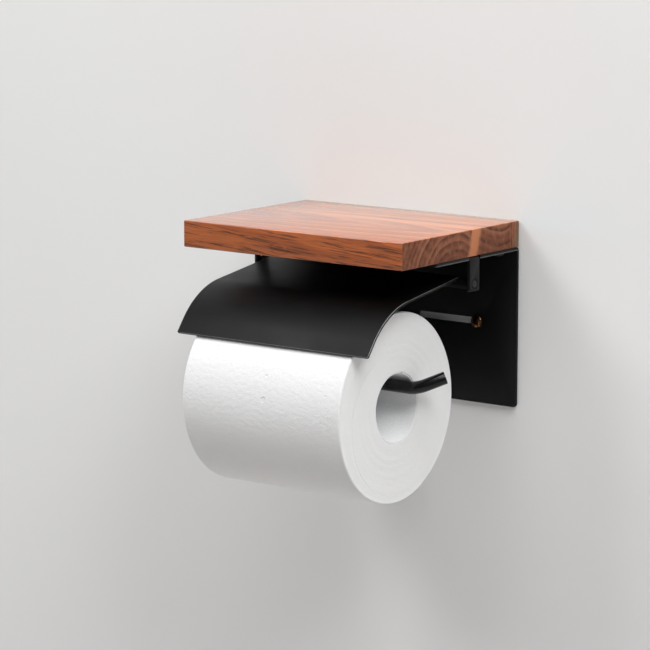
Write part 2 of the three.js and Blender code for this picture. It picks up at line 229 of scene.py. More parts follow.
def swept_rod(name, line, radius, end_round, segments):
    """A round rod along a line of points, its two ends closed with a small rounded edge."""
    bm = bmesh.new()
    tangents = [(after - before).normalized()
                for before, after in zip(line[:1] + line[:-1], line[1:] + line[-1:])]
    side = tangents[0].orthogonal().normalized()
    stations = []
    for i, p in enumerate(line):
        if i:
            side = tangents[i - 1].rotation_difference(tangents[i]) @ side
        up = tangents[i].cross(side).normalized()
        stations.append((p, tangents[i], side.copy(), up))

    def ring(station, r, shift=0.0):
        p, along, s, u = station
        verts = []
        for k in range(segments):
            a = 2 * math.pi * k / segments
            verts.append(bm.verts.new(p + along * shift + (s * math.cos(a) + u * math.sin(a)) * r))
        return verts

    rounding = [(math.cos(a), math.sin(a)) for a in (math.radians(d) for d in (90, 60, 30, 0))]
    rings = [ring(stations[0], radius - end_round + end_round * c, end_round * (1 - s))
             for c, s in rounding[:-1]]
    rings += [ring(stations[0], radius, end_round)]
    rings += [ring(st, radius) for st in stations[1:-1]]
    rings += [ring(stations[-1], radius, -end_round)]
    rings += [ring(stations[-1], radius - end_round + end_round * c, -end_round * (1 - s))
              for c, s in reversed(rounding[:-1])]
    for here, there in zip(rings, rings[1:]):
        bridge(bm, here, there)
    cap_ends(bm, rings)
    return object_from_bmesh(name, bm, 50)


def folded_sheet(name, outlines, guides, fold, thickness, edge_round, smooth_angle=30):
    """Cuts a flat blank with holes, folds it, and thickens it.

    outlines: closed loops of (u, v), the outer one first; guides: extra lines across the blank
    that let it fold; fold: function from (u, v) to a point on the sheet's outer face.
    """
    verts, edges, loops = [], [], []
    for outline in outlines:
        base = len(verts)
        verts += [Vector(p) for p in outline]
        edges += [(base + i, base + (i + 1) % len(outline)) for i in range(len(outline))]
        loops.append([base + i for i in range(len(outline))])
    for a, b in guides:
        base = len(verts)
        verts += [Vector(a), Vector(b)]
        edges.append((base, base + 1))
    points, _, faces, _, _, _ = delaunay_2d_cdt(verts, edges, [], 0, 1e-7)

    def inside(p, outline):
        hit = False
        for (x0, y0), (x1, y1) in zip(outline, outline[1:] + outline[:1]):
            if (y0 > p[1]) != (y1 > p[1]) and p[0] < (x1 - x0) * (p[1] - y0) / (y1 - y0) + x0:
                hit = not hit
        return hit

    bm = bmesh.new()
    made = [bm.verts.new(fold(p[0], p[1])) for p in points]
    for face in faces:
        mid = sum((points[i] for i in face), Vector((0, 0))) / len(face)
        if inside(mid, outlines[0]) and not any(inside(mid, o) for o in outlines[1:]):
            bm.faces.new([made[i] for i in face])
    loose = [v for v in bm.verts if not v.link_faces]
    bmesh.ops.delete(bm, geom=loose, context="VERTS")
    bmesh.ops.dissolve_limit(bm, angle_limit=FLAT_ENOUGH, verts=bm.verts, edges=bm.edges)
    mesh = bpy.data.meshes.new(name)
    bm.to_mesh(mesh)
    bm.free()
    piece = new_object(name, mesh)
    thick = piece.modifiers.new("thickness", "SOLIDIFY")
    thick.thickness = thickness
    thick.offset = 1
    thick.use_even_offset = True
    soften = piece.modifiers.new("softened edges", "BEVEL")
    soften.width = edge_round
    soften.segments = 3
    soften.limit_method = "ANGLE"
    soften.angle_limit = math.radians(60)
    soften.use_clamp_overlap = True
    apply_modifiers(piece)
    shade_by_angle(piece, smooth_angle)
    return piece


def fit_out(piece, body, slot_name, material, *nodes):
    """Gives a finished piece its material, its place in the assembly and the node it stands for."""
    piece.data.materials.clear()
    piece.data.materials.append(material)
    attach(piece, body)
    if nodes:
        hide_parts(*nodes)


# ---------------------------------------------------------------------------
# Node helpers
# ---------------------------------------------------------------------------
class Nodes:
    """Places and links shader nodes in one tree."""

    def __init__(self, tree):
        self.tree = tree

    def add(self, kind, **settings):
        node = self.tree.nodes.new(kind)
        for key, value in settings.items():
            setattr(node, key, value)
        return node

    def feed(self, socket, value):
        if isinstance(value, bpy.types.NodeSocket):
            self.tree.links.new(value, socket)
        elif value is not None:
            socket.default_value = value
        return socket

    def times(self, *values):
        """The product of two or more numbers."""
        product = values[0]
        for value in values[1:]:
            product = self.math("MULTIPLY", product, value)
        return product

    def stretched(self, place, factors):
        return self.vector("MULTIPLY", place, factors)

    def math(self, operation, a, b=None, clamp=False):
        node = self.add("ShaderNodeMath", operation=operation, use_clamp=clamp)
        self.feed(node.inputs[0], a)
        if b is not None:
            self.feed(node.inputs[1], b)
        return node.outputs[0]

    def vector(self, operation, a, b=None, scale=None):
        node = self.add("ShaderNodeVectorMath", operation=operation)
        self.feed(node.inputs[0], a)
        if b is not None:
            self.feed(node.inputs[1], b)
        if scale is not None:
            self.feed(node.inputs["Scale"], scale)
        return node.outputs["Value" if operation == "LENGTH" else "Vector"]

    def noise(self, vector, scale, detail=2.0, roughness=0.5, distortion=0.0):
        node = self.add("ShaderNodeTexNoise")
        self.feed(node.inputs["Vector"], vector)
        self.feed(node.inputs["Scale"], scale)
        self.feed(node.inputs["Detail"], detail)
        self.feed(node.inputs["Roughness"], roughness)
        self.feed(node.inputs["Distortion"], distortion)
        return node.outputs["Fac"]

    def remap(self, value, lo, hi, to_lo=0.0, to_hi=1.0, smooth=True):
        node = self.add("ShaderNodeMapRange")
        if smooth:
            node.interpolation_type = "SMOOTHSTEP"
        self.feed(node.inputs["Value"], value)
        self.feed(node.inputs["From Min"], lo)
        self.feed(node.inputs["From Max"], hi)
        self.feed(node.inputs["To Min"], to_lo)
        self.feed(node.inputs["To Max"], to_hi)
        return node.outputs["Result"]

    def mix(self, factor, a, b):
        node = self.add("ShaderNodeMix", data_type="RGBA")
        self.feed(node.inputs["Factor"], factor)
        first, second = [s for s in node.inputs if s.type == "RGBA"]
        self.feed(first, a)
        self.feed(second, b)
        return [s for s in node.outputs if s.type == "RGBA"][0]

    def split(self, vector):
        node = self.add("ShaderNodeSeparateXYZ")
        self.feed(node.inputs[0], vector)
        return node.outputs

    def join(self, x, y, z):
        node = self.add("ShaderNodeCombineXYZ")
        for socket, value in zip(node.inputs, (x, y, z)):
            self.feed(socket, value)
        return node.outputs[0]

    def group(self, tree, **inputs):
        node = self.add("ShaderNodeGroup")
        node.node_tree = tree
        for key, value in inputs.items():
            self.feed(node.inputs[key.replace("_", " ")], value)
        return node.outputs


def new_group(name, inputs, outputs):
    """An effect: its tree, its nodes, what it is given and what it puts out."""
    tree = bpy.data.node_groups.new(name, "ShaderNodeTree")
    for label, kind, value in inputs:
        socket = tree.interface.new_socket(name=label, in_out="INPUT", socket_type=kind)
        if value is not None:
            socket.default_value = value
    for label, kind in outputs:
        tree.interface.new_socket(name=label, in_out="OUTPUT", socket_type=kind)
    n = Nodes(tree)
    return tree, n, n.add("NodeGroupInput").outputs, n.add("NodeGroupOutput").inputs


def new_material(name):
    """A finish with one plain shader: the material, its nodes and the shader."""
    material = bpy.data.materials.new(name)
    material.use_nodes = True
    material.node_tree.nodes.clear()
    n = Nodes(material.node_tree)
    shader = n.add("ShaderNodeBsdfPrincipled")
    out = n.add("ShaderNodeOutputMaterial")
    n.feed(out.inputs["Surface"], shader.outputs["BSDF"])
    return material, n, shader


def bump(n, shader, height, distance, strength=1.0):
    node = n.add("ShaderNodeBump")
    n.feed(node.inputs["Height"], height)
    node.inputs["Distance"].default_value = distance
    node.inputs["Strength"].default_value = strength
    n.feed(shader.inputs["Normal"], node.outputs["Normal"])


VEC, NUM, COL = "NodeSocketVector", "NodeSocketFloat", "NodeSocketColor"


def colour(r, g, b):
    return (r, g, b, 1.0)


# ---------------------------------------------------------------------------
# Shared effects
# ---------------------------------------------------------------------------
def growth_rings():
    """Solid timber whose fibres run along X, with rings about a centre beside or below the board."""
    tree, n, given, out = new_group("growth_rings", [
        ("Place", VEC, None), ("Centre", VEC, None), ("Ring Width", NUM, 0.003), ("Slant", NUM, 0.0),
        ("Seed", NUM, 0.0), ("Knot", VEC, (0.0, 0.0, -1.0)), ("Knot Size", NUM, 0.003),
    ], [(label, NUM) for label in (
        "Ring", "Band", "Fibre", "Streak", "Vessel", "Patch", "Hairline", "Knot")])
    seed = given["Seed"]
    place = n.vector("ADD", given["Place"], n.join(seed, 0.0, 0.0))
    x, y, z = n.split(given["Place"])
    sway = n.noise(n.stretched(place, (7.0, 26.0, 26.0)), 1.0, 2.0)
    ripple = n.noise(n.stretched(place, (22.0, 120.0, 120.0)), 1.0, 3.0, 0.6)
    kx, _, kz = n.split(n.vector("SUBTRACT", given["Place"], given["Knot"]))
    knot_far = n.vector("LENGTH", n.join(n.times(kx, 0.55), 0.0, kz))
    knot_near = n.remap(n.math("DIVIDE", knot_far, given["Knot Size"]), 0.0, 4.0, 1.0, 0.0)
    n.feed(out["Knot"], knot_near)

    # rings: metres from their centre, pushed about by sway, ripple and the knot
    slant = n.times(x, given["Slant"])
    _, cy, cz = n.split(n.vector("SUBTRACT", given["Place"], given["Centre"]))
    far = n.vector("LENGTH", n.join(0.0, cy, n.math("ADD", cz, slant)))
    for push, metres in ((sway, 0.010), (ripple, 0.0010), (knot_near, 0.006)):
        far = n.math("ADD", far, n.times(push, metres))
    count = n.math("DIVIDE", far, given["Ring Width"])
    step = n.math("FRACT", count)
    which = n.add("ShaderNodeTexWhiteNoise", noise_dimensions="1D")
    n.feed(which.inputs["W"], n.math("ADD", n.math("FLOOR", count), seed))
    strength = n.remap(which.outputs["Value"], 0.0, 1.0, 0.35, 1.0, smooth=False)
    n.feed(out["Ring"], n.times(n.remap(step, 0.05, 0.80), n.remap(step, 0.86, 1.0, 1.0, 0.0), strength))
    n.feed(out["Band"], n.noise(n.join(n.times(far, 95.0), seed, 0.0), 1.0, 2.0))
    n.feed(out["Fibre"], n.noise(n.stretched(place, (38.0, 1500.0, 1500.0)), 1.0, 2.0, 0.6))

    # dark streaks and patches, stretched along the leaning grain
    lean = n.math("ADD", z, slant)
    swayed = n.math("ADD", lean, n.times(sway, 0.004))
    streak_at = n.join(n.math("ADD", n.times(x, 15.0), seed), n.times(y, 700.0), n.times(swayed, 1250.0))
    patch_at = n.join(n.times(x, 22.0), n.times(y, 90.0), n.times(lean, 170.0))
    patch = n.noise(n.vector("ADD", patch_at, n.join(seed, 0.0, 0.0)), 1.0, 3.0, 0.6)
    n.feed(out["Patch"], n.remap(patch, 0.44, 0.66))
    n.feed(out["Streak"], n.math("ADD", n.noise(streak_at, 1.0, 5.0, 0.7),
                                 n.remap(patch, 0.36, 0.60, -0.10, 0.09)))

    # hairlines: dark pores that follow the grain and break off where the wood is clear
    hair_at = n.join(n.math("ADD", n.times(x, 10.0), seed), n.times(y, 330.0), n.times(lean, 460.0))
    hair = n.math("ABSOLUTE", n.math("SUBTRACT", n.noise(hair_at, 1.0, 3.0, 0.55, 0.35), 0.5))
    broken = n.noise(n.stretched(place, (46.0, 160.0, 330.0)), 1.0, 2.0)
    n.feed(out["Hairline"], n.times(n.remap(hair, 0.010, 0.030, 1.0, 0.0), n.remap(broken, 0.40, 0.53)))
    vessel = n.noise(n.stretched(place, (150.0, 2600.0, 2600.0)), 1.0, 1.0)
    n.feed(out["Vessel"], n.remap(vessel, 0.64, 0.72))
    return tree


def sawn_end():
    """End grain: it soaks up more oil, so it is browner, and shows its rings and open pores."""
    tree, n, given, out = new_group("sawn_end", [
        ("Place", VEC, None), ("Ring", NUM, 0.0), ("Band", NUM, 0.5),
    ], [("Color", COL), ("Pore", NUM)])
    tone = n.mix(n.remap(given["Band"], 0.36, 0.64), colour(0.175, 0.054, 0.025), colour(0.300, 0.108, 0.054))
    tone = n.mix(n.times(given["Ring"], 0.88), tone, colour(0.055, 0.017, 0.008))
    pore = n.remap(n.noise(given["Place"], 1900.0, 2.0, 0.5), 0.56, 0.66)
    tone = n.mix(n.times(pore, 0.40), tone, colour(0.045, 0.016, 0.009))
    smudge = n.noise(given["Place"], 210.0, 4.0, 0.65)
    n.feed(out["Color"], n.mix(n.remap(smudge, 0.42, 0.70, 0.0, 0.40), tone, colour(0.36, 0.150, 0.080)))
    n.feed(out["Pore"], pore)
    return tree


def glue_line_stripe():
    """The stripe of other wood beside a glue line, between the Y of its start and of its full colour."""
    tree, n, given, out = new_group("glue_line_stripe", [
        ("Place", VEC, None), ("Start", NUM, 0.0), ("Full", NUM, 0.0),
    ], [("Stripe", NUM)])
    _, y, z = n.split(given["Place"])
    wander = n.times(n.noise(n.stretched(given["Place"], (5.0, 40.0, 90.0)), 1.0, 2.0), 0.005)
    lean = n.times(n.math("SUBTRACT", z, FRONT_LO.z), -0.28)
    across = n.math("ADD", n.math("ADD", y, wander), lean)
    n.feed(out["Stripe"], n.remap(across, given["Start"], given["Full"]))
    return tree


def powder_coat():
    """The fine pebbled skin of a baked powder coat: how rough it is, its relief and its tone."""
    tree, n, given, out = new_group("powder_coat", [
        ("Place", VEC, None), ("Tone", COL, colour(0.012, 0.012, 0.013)), ("Roughness", NUM, 0.42),
    ], [("Color", COL), ("Roughness", NUM), ("Height", NUM)])
    pebble = n.noise(given["Place"], 1500.0, 2.0, 0.5)
    grit = n.noise(given["Place"], 5200.0, 1.0, 0.5)
    cloud = n.noise(given["Place"], 38.0, 3.0, 0.55)
    n.feed(out["Color"], n.vector("SCALE", given["Tone"], scale=n.remap(cloud, 0.3, 0.7, 0.92, 1.16)))
    rough = n.math("ADD", given["Roughness"], n.remap(cloud, 0.3, 0.7, -0.02, 0.035))
    n.feed(out["Roughness"], n.math("ADD", rough, n.remap(grit, 0.35, 0.65, -0.015, 0.03)))
    n.feed(out["Height"], n.math("ADD", n.times(pebble, 0.8), n.times(grit, 0.2)))
    return tree


def painted_edge_highlight():
    """Painted highlight where the coat's edges catch the light: along the side edges, and on a front lip.

    Edge From: how far out from the middle the side edges begin. Low, High: the Z they lie between.
    Corners: 1 keeps to their rounded corners. Clear Middle, Clear Reach: a stretch of Y without one.
    Lip Back: the Y where a front lip begins.
    """
    tree, n, given, out = new_group("painted_edge_highlight", [
        ("Place", VEC, None), ("Facing", VEC, None), ("Strength", NUM, 1.0), ("Edge From", NUM, 1.0),
        ("Corners", NUM, 0.0), ("Low", NUM, -1.0), ("High", NUM, 1.0),
        ("Clear Middle", NUM, 0.0), ("Clear Reach", NUM, -1.0), ("Lip Back", NUM, -1.0),
    ], [("Painted Highlight", NUM)])

    def past(value, at, width):
        """0 up to a place and 1 from width beyond it; downward where width is below 0."""
        return n.remap(value, at, n.math("ADD", at, width))

    x, y, z = n.split(given["Place"])
    nx, _, nz = n.split(given["Facing"])
    # breaks the painted edge highlight into patches
    highlight_breakup = n.remap(n.noise(given["Place"], 240.0, 3.0, 0.6), 0.25, 0.55, 0.45, 1.0)
    turned = n.math("MAXIMUM", n.remap(n.math("ABSOLUTE", nx), 0.92, 0.70),
                    n.math("SUBTRACT", 1.0, given["Corners"]))
    beside = n.math("ABSOLUTE", n.math("SUBTRACT", y, given["Clear Middle"]))
    edge = n.times(past(n.math("ABSOLUTE", x), given["Edge From"], 0.2 * MM), turned,
                   past(z, given["Low"], 0.2 * MM), past(z, given["High"], -0.2 * MM),
                   past(beside, given["Clear Reach"], 0.3 * MM), highlight_breakup, given["Strength"])
    crown = n.times(n.remap(nz, 0.55, 0.40), n.remap(nz, -0.55, -0.30))
    lip = n.times(past(y, given["Lip Back"], -0.3 * MM), highlight_breakup, crown, 0.6)
    n.feed(out["Painted Highlight"], n.math("MAXIMUM", edge, lip))
    return tree


def round_place():
    """Where a point lies round an axis that runs along X: its angle, distance from it and place along it."""
    tree, n, given, out = new_group("round_place", [
        ("Place", VEC, None), ("Axis", VEC, None),
    ], [("Angle", NUM), ("Radius", NUM), ("Along", NUM)])
    dx, dy, dz = n.split(n.vector("SUBTRACT", given["Place"], given["Axis"]))
    n.feed(out["Angle"], n.math("ARCTAN2", dz, dy))
    n.feed(out["Radius"], n.vector("LENGTH", n.join(0.0, dy, dz)))
    n.feed(out["Along"], dx)
    return tree


GROWTH_RINGS = growth_rings()
SAWN_END = sawn_end()
GLUE_LINE_STRIPE = glue_line_stripe()
POWDER_COAT = powder_coat()
PAINTED_EDGE_HIGHLIGHT = painted_edge_highlight()
ROUND_PLACE = round_place()


# ---------------------------------------------------------------------------
# Finishes
# ---------------------------------------------------------------------------
WOOD_PALE = colour(0.660, 0.215, 0.064)
WOOD_MIDDLE = colour(0.530, 0.135, 0.032)
WOOD_DARK = colour(0.170, 0.040, 0.012)
BACK_PALE = colour(0.50, 0.21, 0.085)
BACK_MIDDLE = colour(0.38, 0.15, 0.06)
SAPWOOD = colour(0.520, 0.195, 0.085)
GREY_SAPWOOD = colour(0.150, 0.125, 0.080)
PORE_DARK = colour(0.050, 0.014, 0.006)
STREAK_DARK = colour(0.045, 0.014, 0.006)
TOP_SHARE = 0.22                      # how much of the streaks the shelf's top shows
BLACK = colour(0.0022, 0.0022, 0.0023)
# grey for the painted highlight on the coat's edges
HIGHLIGHT_GREY = colour(0.34, 0.34, 0.34)
BRONZE_DARK = colour(0.030, 0.016, 0.009)
BRONZE_BRIGHT = colour(0.27, 0.135, 0.055)
DIMPLE_PITCH = 2.6 * MM
CREASE_R = 43.0 * MM                  # the crease on the roll's ends: its radius, how far it
CREASE_SWING = 9.0 * MM               # swings out and in, and its width
CREASE_WIDTH = 0.9 * MM
CARD_PITCH = 72.0 * MM                # how far the card's spiral seam goes in one turn


def lacquered_timber(name, tones, stripe, stripe_tone, **growth):
    """Oiled and lacquered hardwood.

    tones: pale, middle and dark colour of the long grain; stripe: the Y between which the stripe at a
    glue line comes in; stripe_tone: its colour on the sawn ends; growth: inputs of growth_rings.
    """
    material, n, shader = new_material(name)
    coord = n.add("ShaderNodeTexCoord")
    place = coord.outputs["Object"]
    nx, _, nz = n.split(coord.outputs["Normal"])
    pale, middle, dark = tones
    grain = n.group(GROWTH_RINGS, Place=place, **growth)
    fibre = n.remap(grain["Fibre"], 0.35, 0.75)
    # streaks and patches show less on the top
    share = n.remap(n.remap(nz, 0.5, 0.9), 0.0, 1.0, 1.0, TOP_SHARE)
    streak = n.times(n.remap(grain["Streak"], 0.600, 0.645), share)
    tone = n.mix(n.remap(grain["Band"], 0.36, 0.64), middle, pale)
    for amount, mark in (
        (n.times(grain["Ring"], 0.55), dark),
        (n.times(grain["Patch"], share, 0.30), dark),
        (n.times(grain["Hairline"], n.remap(share, TOP_SHARE, 1.0, 0.30, 0.85)), PORE_DARK),
        (n.times(streak, 0.85), STREAK_DARK),
        (n.times(grain["Vessel"], 0.45), dark),
        (n.times(fibre, 0.42), dark),
        (n.times(n.remap(grain["Knot"], 0.80, 1.0), 0.6), dark),
    ):
        tone = n.mix(amount, tone, mark)
    end = n.remap(n.math("ABSOLUTE", nx), 0.75, 0.95)
    sawn = n.group(SAWN_END, Place=place, Ring=grain["Ring"], Band=grain["Band"])
    tone = n.mix(end, tone, sawn["Color"])
    beside_glue = n.group(GLUE_LINE_STRIPE, Place=place, Start=stripe[0], Full=stripe[1])["Stripe"]
    tone = n.mix(n.times(beside_glue, 0.82), tone, n.mix(end, pale, stripe_tone))
    n.feed(shader.inputs["Base Color"], tone)
    rough = n.math("ADD", n.remap(grain["Fibre"], 0.3, 0.7, 0.32, 0.42), n.times(end, 0.20))
    n.feed(shader.inputs["Roughness"], rough)
    n.feed(shader.inputs["Specular IOR Level"], n.remap(end, 0.0, 1.0, 0.5, 0.2))
    n.feed(shader.inputs["Coat Weight"], n.math("SUBTRACT", 1.0, end))
    shader.inputs["Coat Roughness"].default_value = 0.15
    height = n.math("SUBTRACT", n.times(fibre, -0.5), n.times(streak, 0.6))
    height = n.math("SUBTRACT", height, n.times(sawn["Pore"], end, 0.8))
    bump(n, shader, height, 0.12 * MM, 0.55)
    return material


def coated_steel(name, roughness, relief=0.5, shine=0.22, **edge_highlight):
    """Black coat baked on steel; keyword inputs, if any, go to the group that paints a highlight along its
    edges.
    """
    material, n, shader = new_material(name)
    coord = n.add("ShaderNodeTexCoord")
    place = coord.outputs["Object"]
    skin = n.group(POWDER_COAT, Place=place, Tone=BLACK, Roughness=roughness)
    base, rough = skin["Color"], skin["Roughness"]
    shader.inputs["Specular IOR Level"].default_value = shine
    if edge_highlight:
        edge = n.group(PAINTED_EDGE_HIGHLIGHT, Place=place, Facing=coord.outputs["Normal"], **edge_highlight)["Painted Highlight"]
        # painted highlight: the base colour turns grey along the edges that catch the light
        base = n.mix(edge, base, HIGHLIGHT_GREY)
        rough = n.math("SUBTRACT", rough, n.times(edge, 0.12))
    n.feed(shader.inputs["Base Color"], base)
    n.feed(shader.inputs["Roughness"], rough)
    bump(n, shader, skin["Height"], 0.06 * MM, relief)
    return material


def aged_bronze():
    """Antique-finished screw: dark and rubbed-bright bronze in patches spread by noise."""
    material, n, shader = new_material("aged_bronze")
    place = n.add("ShaderNodeTexCoord").outputs["Object"]
    blotch = n.noise(place, 700.0, 3.0, 0.6)
    fine = n.noise(place, 4200.0, 2.0, 0.5)
    n.feed(shader.inputs["Base Color"], n.mix(n.remap(blotch, 0.40, 0.62), BRONZE_DARK, BRONZE_BRIGHT))
    n.feed(shader.inputs["Roughness"], n.remap(blotch, 0.35, 0.65, 0.34, 0.13))
    shader.inputs["Metallic"].default_value = 1.0
    bump(n, shader, n.math("ADD", blotch, n.times(fine, 0.4)), 0.05 * MM, 0.5)
    return material


def blackened_screw():
    """Wood screw with a thin black finish, worn a little paler in patches."""
    material, n, shader = new_material("blackened_screw")
    patch = n.noise(n.add("ShaderNodeTexCoord").outputs["Object"], 900.0, 3.0, 0.6)
    n.feed(shader.inputs["Base Color"], n.mix(patch, colour(0.010, 0.010, 0.012), colour(0.035, 0.035, 0.04)))
    n.feed(shader.inputs["Roughness"], n.remap(patch, 0.3, 0.7, 0.34, 0.50))
    shader.inputs["Metallic"].default_value = 0.6
    bump(n, shader, patch, 0.04 * MM, 0.4)
    return material


def bathroom_tissue():
    """Embossed white tissue: dimples round the outside, wound layers on the ends."""
    material, n, shader = new_material("bathroom_tissue")
    coord = n.add("ShaderNodeTexCoord")
    place = coord.outputs["Object"]
    where = n.group(ROUND_PLACE, Place=place, Axis=ROLL_AXIS)
    rise, toward_wall = n.math("SINE", where["Angle"]), n.math("COSINE", where["Angle"])
    nx, _, _ = n.split(coord.outputs["Normal"])
    end = n.remap(n.math("ABSOLUTE", nx), 0.55, 0.85)
    side = n.math("SUBTRACT", 1.0, end)
    fibre = n.noise(place, 2600.0, 3.0, 0.65)

    # the outside: faint dimples in staggered rows, a whole number of them round the roll, and creases
    round_by = n.times(where["Angle"], round(ROLL_R * 2 * math.pi / DIMPLE_PITCH))
    along_by = n.times(where["Along"], 2 * math.pi / DIMPLE_PITCH)
    dimple = n.times(n.math("SINE", round_by), n.math("SINE", along_by))
    dimple = n.times(n.remap(dimple, 0.3, 1.0), n.remap(n.noise(place, 160.0), 0.45, 0.7))
    creased = n.noise(n.stretched(place, (520.0, 60.0, 60.0)), 1.0, 3.0, 0.6)
    pucker = n.noise(n.stretched(place, (260.0, 420.0, 420.0)), 1.0, 3.0, 0.6)
    height_side = n.math("ADD", n.times(dimple, -0.25), n.times(pucker, 1.1))
    height_side = n.math("ADD", height_side, n.times(creased, 0.9))

    # the ends: fine wound layers, crushed here and there where the roll was cut
    layer_at = n.join(n.times(where["Radius"], 2600.0), n.times(toward_wall, 0.9), n.times(rise, 0.9))
    layers = n.noise(layer_at, 1.0, 2.0, 0.6)
    cut = n.noise(n.stretched(place, (1.0, 190.0, 520.0)), 1.0, 3.0, 0.6)
    height_end = n.math("ADD", n.times(layers, 0.45), n.times(cut, 0.6))
    # one soft crease curls across each end, on the side away from the wall
    off_line = n.math("ADD", n.math("SUBTRACT", where["Radius"], CREASE_R), n.times(rise, CREASE_SWING))
    crease = n.times(n.remap(n.math("ABSOLUTE", off_line), 0.0, CREASE_WIDTH, 1.0, 0.0),
                     n.remap(toward_wall, -0.45, -0.75))
    height_end = n.math("SUBTRACT", height_end, n.times(crease, 0.9))

    height = n.math("ADD", n.times(height_side, side), n.times(height_end, end))
    nick = n.remap(n.noise(n.stretched(place, (170.0, 230.0, 230.0)), 1.0, 1.0), 0.765, 0.82)
    height = n.math("SUBTRACT", height, n.times(nick, 2.2))
    height = n.math("ADD", height, n.times(fibre, 0.25))
    # painted shade: the base colour darkens in the dimples and along the wound layers on the ends
    painted_shade = n.math("ADD", n.times(dimple, side, 0.15), n.times(layers, end, 0.35), clamp=True)
    n.feed(shader.inputs["Base Color"], n.mix(painted_shade, colour(0.82, 0.82, 0.818), colour(0.76, 0.76, 0.757)))
    n.feed(shader.inputs["Roughness"], n.remap(fibre, 0.3, 0.7, 0.88, 1.0))
    shader.inputs["Specular IOR Level"].default_value = 0.2
    shader.inputs["Subsurface Weight"].default_value = 0.12
    shader.inputs["Subsurface Radius"].default_value = (1.5 * MM, 1.5 * MM, 1.5 * MM)
    shader.inputs["Subsurface Scale"].default_value = 1.0
    bump(n, shader, height, 0.5 * MM, 0.55)
    return material


def wound_card():
    """Recycled card strip wound into a tube, with its spiral seam."""
    material, n, shader = new_material("wound_card")
    place = n.add("ShaderNodeTexCoord").outputs["Object"]
    where = n.group(ROUND_PLACE, Place=place, Axis=ROLL_AXIS)
    turn = n.math("ADD", n.math("DIVIDE", where["Along"], CARD_PITCH),
                  n.math("DIVIDE", where["Angle"], 2 * math.pi))
    across = n.math("FRACT", turn)
    seam = n.math("SUBTRACT", n.remap(across, 0.0, 0.018), n.remap(across, 0.018, 0.030))
    fleck = n.noise(place, 900.0, 4.0, 0.65)
    tone = n.mix(n.remap(fleck, 0.35, 0.70), colour(0.81, 0.815, 0.82), colour(0.87, 0.875, 0.88))
    n.feed(shader.inputs["Base Color"], n.mix(n.times(seam, 0.5), tone, colour(0.36, 0.35, 0.33)))
    n.feed(shader.inputs["Roughness"], n.remap(fleck, 0.3, 0.7, 0.82, 0.95))
    shader.inputs["Specular IOR Level"].default_value = 0.25
    bump(n, shader, n.math("SUBTRACT", n.times(fleck, 0.4), seam), 0.2 * MM, 0.5)
    return material


WOOD_TONES = (WOOD_PALE, WOOD_MIDDLE, WOOD_DARK)
timber_front = lacquered_timber(
    "timber_front_stave", WOOD_TONES, (-0.0535, -0.0495), SAPWOOD,
    Centre=(0, -0.067, 0.036), Ring_Width=0.0043, Slant=0.075, Seed=3.7,
    Knot=(-0.008, -0.120, 0.0525), Knot_Size=0.0012)
timber_middle = lacquered_timber(
    "timber_middle_stave", WOOD_TONES, (-0.0405, -0.0445), SAPWOOD,
    Centre=(0, -0.022, 0.088), Ring_Width=0.0046, Slant=-0.02, Seed=11.3)
timber_back = lacquered_timber(
    "timber_back_stave", (BACK_PALE, BACK_MIDDLE, WOOD_DARK), (-0.0045, -0.0020), GREY_SAPWOOD,
    Centre=(0, 0.05, 0.060), Ring_Width=0.0030, Slant=0.01, Seed=23.9)
# the flange's edge gets a painted highlight as a thin line beside the ears
coat_bracket = coated_steel(
    "black_coat_bracket", 0.42, Strength=0.3, Edge_From=HALF_SPAN - 0.38 * MM,
    Low=BRACKET_HI.z - SHEET - 0.2 * MM, High=BRACKET_HI.z - 1.3 * MM,
    Clear_Middle=EAR_MID_Y, Clear_Reach=EAR_HALF)
# the cover's side edges and front lip get a painted highlight
coat_cover = coated_steel(
    "black_coat_cover", 0.43, shine=0.17, Edge_From=COVER_HI.x - 0.4 * MM, Corners=1.0,
    Lip_Back=COVER_LO.y + 0.6 * MM)
coat_tube = coated_steel("black_coat_tube", 0.50, shine=0.07)
coat_bar = coated_steel("black_coat_bar", 0.20, 0.3, 0.38)
bronze = aged_bronze()
black_screw = blackened_screw()
tissue = bathroom_tissue()
card = wound_card()


# ---------------------------------------------------------------------------
# The bracket: one blank of sheet, folded twice and given two ears
# ---------------------------------------------------------------------------
PLATE_BOTTOM_Z = BRACKET_LO.z
FLANGE_TOP_Z = BRACKET_HI.z
BEND_RUN = BEND_R * math.pi / 2       # length of a right-angle bend on the outer face
PLATE_RUN = FLANGE_TOP_Z - BEND_R - PLATE_BOTTOM_Z
FLANGE_START = PLATE_RUN + BEND_RUN
FLANGE_END = FLANGE_START + (-FLANGE_FRONT_Y - BEND_R)
EAR_BEND = HALF_SPAN - BEND_R
EAR_START = EAR_BEND + BEND_RUN
EAR_END = EAR_START + (FLANGE_TOP_Z - BEND_R - EAR_BOTTOM_Z)
BEND_STEPS = 10
SHELF_SCREW_HOLE_R = 1.95 * MM


def blank_v(y):
    """Where a place on the flange lies along the flat blank."""
    return FLANGE_START + (-y - BEND_R)


def fold_bracket(u, v):
    """From the flat blank to the outer face of the folded bracket."""
    if v <= PLATE_RUN:
        return Vector((u, 0, PLATE_BOTTOM_Z + v))
    if v <= FLANGE_START:
        a = (v - PLATE_RUN) / BEND_R
        return Vector((u, -BEND_R + BEND_R * math.cos(a), FLANGE_TOP_Z - BEND_R + BEND_R * math.sin(a)))
    y = -BEND_R - (v - FLANGE_START)
    if abs(u) <= EAR_BEND or abs(y - EAR_MID_Y) > EAR_HALF + 1e-6:
        return Vector((u, y, FLANGE_TOP_Z))
    side = math.copysign(1, u)
    if abs(u) <= EAR_START:
        a = (abs(u) - EAR_BEND) / BEND_R
        return Vector((side * (EAR_BEND + BEND_R * math.sin(a)), y,
                       FLANGE_TOP_Z - BEND_R + BEND_R * math.cos(a)))
    return Vector((side * HALF_SPAN, y, FLANGE_TOP_Z - BEND_R - (abs(u) - EAR_START)))


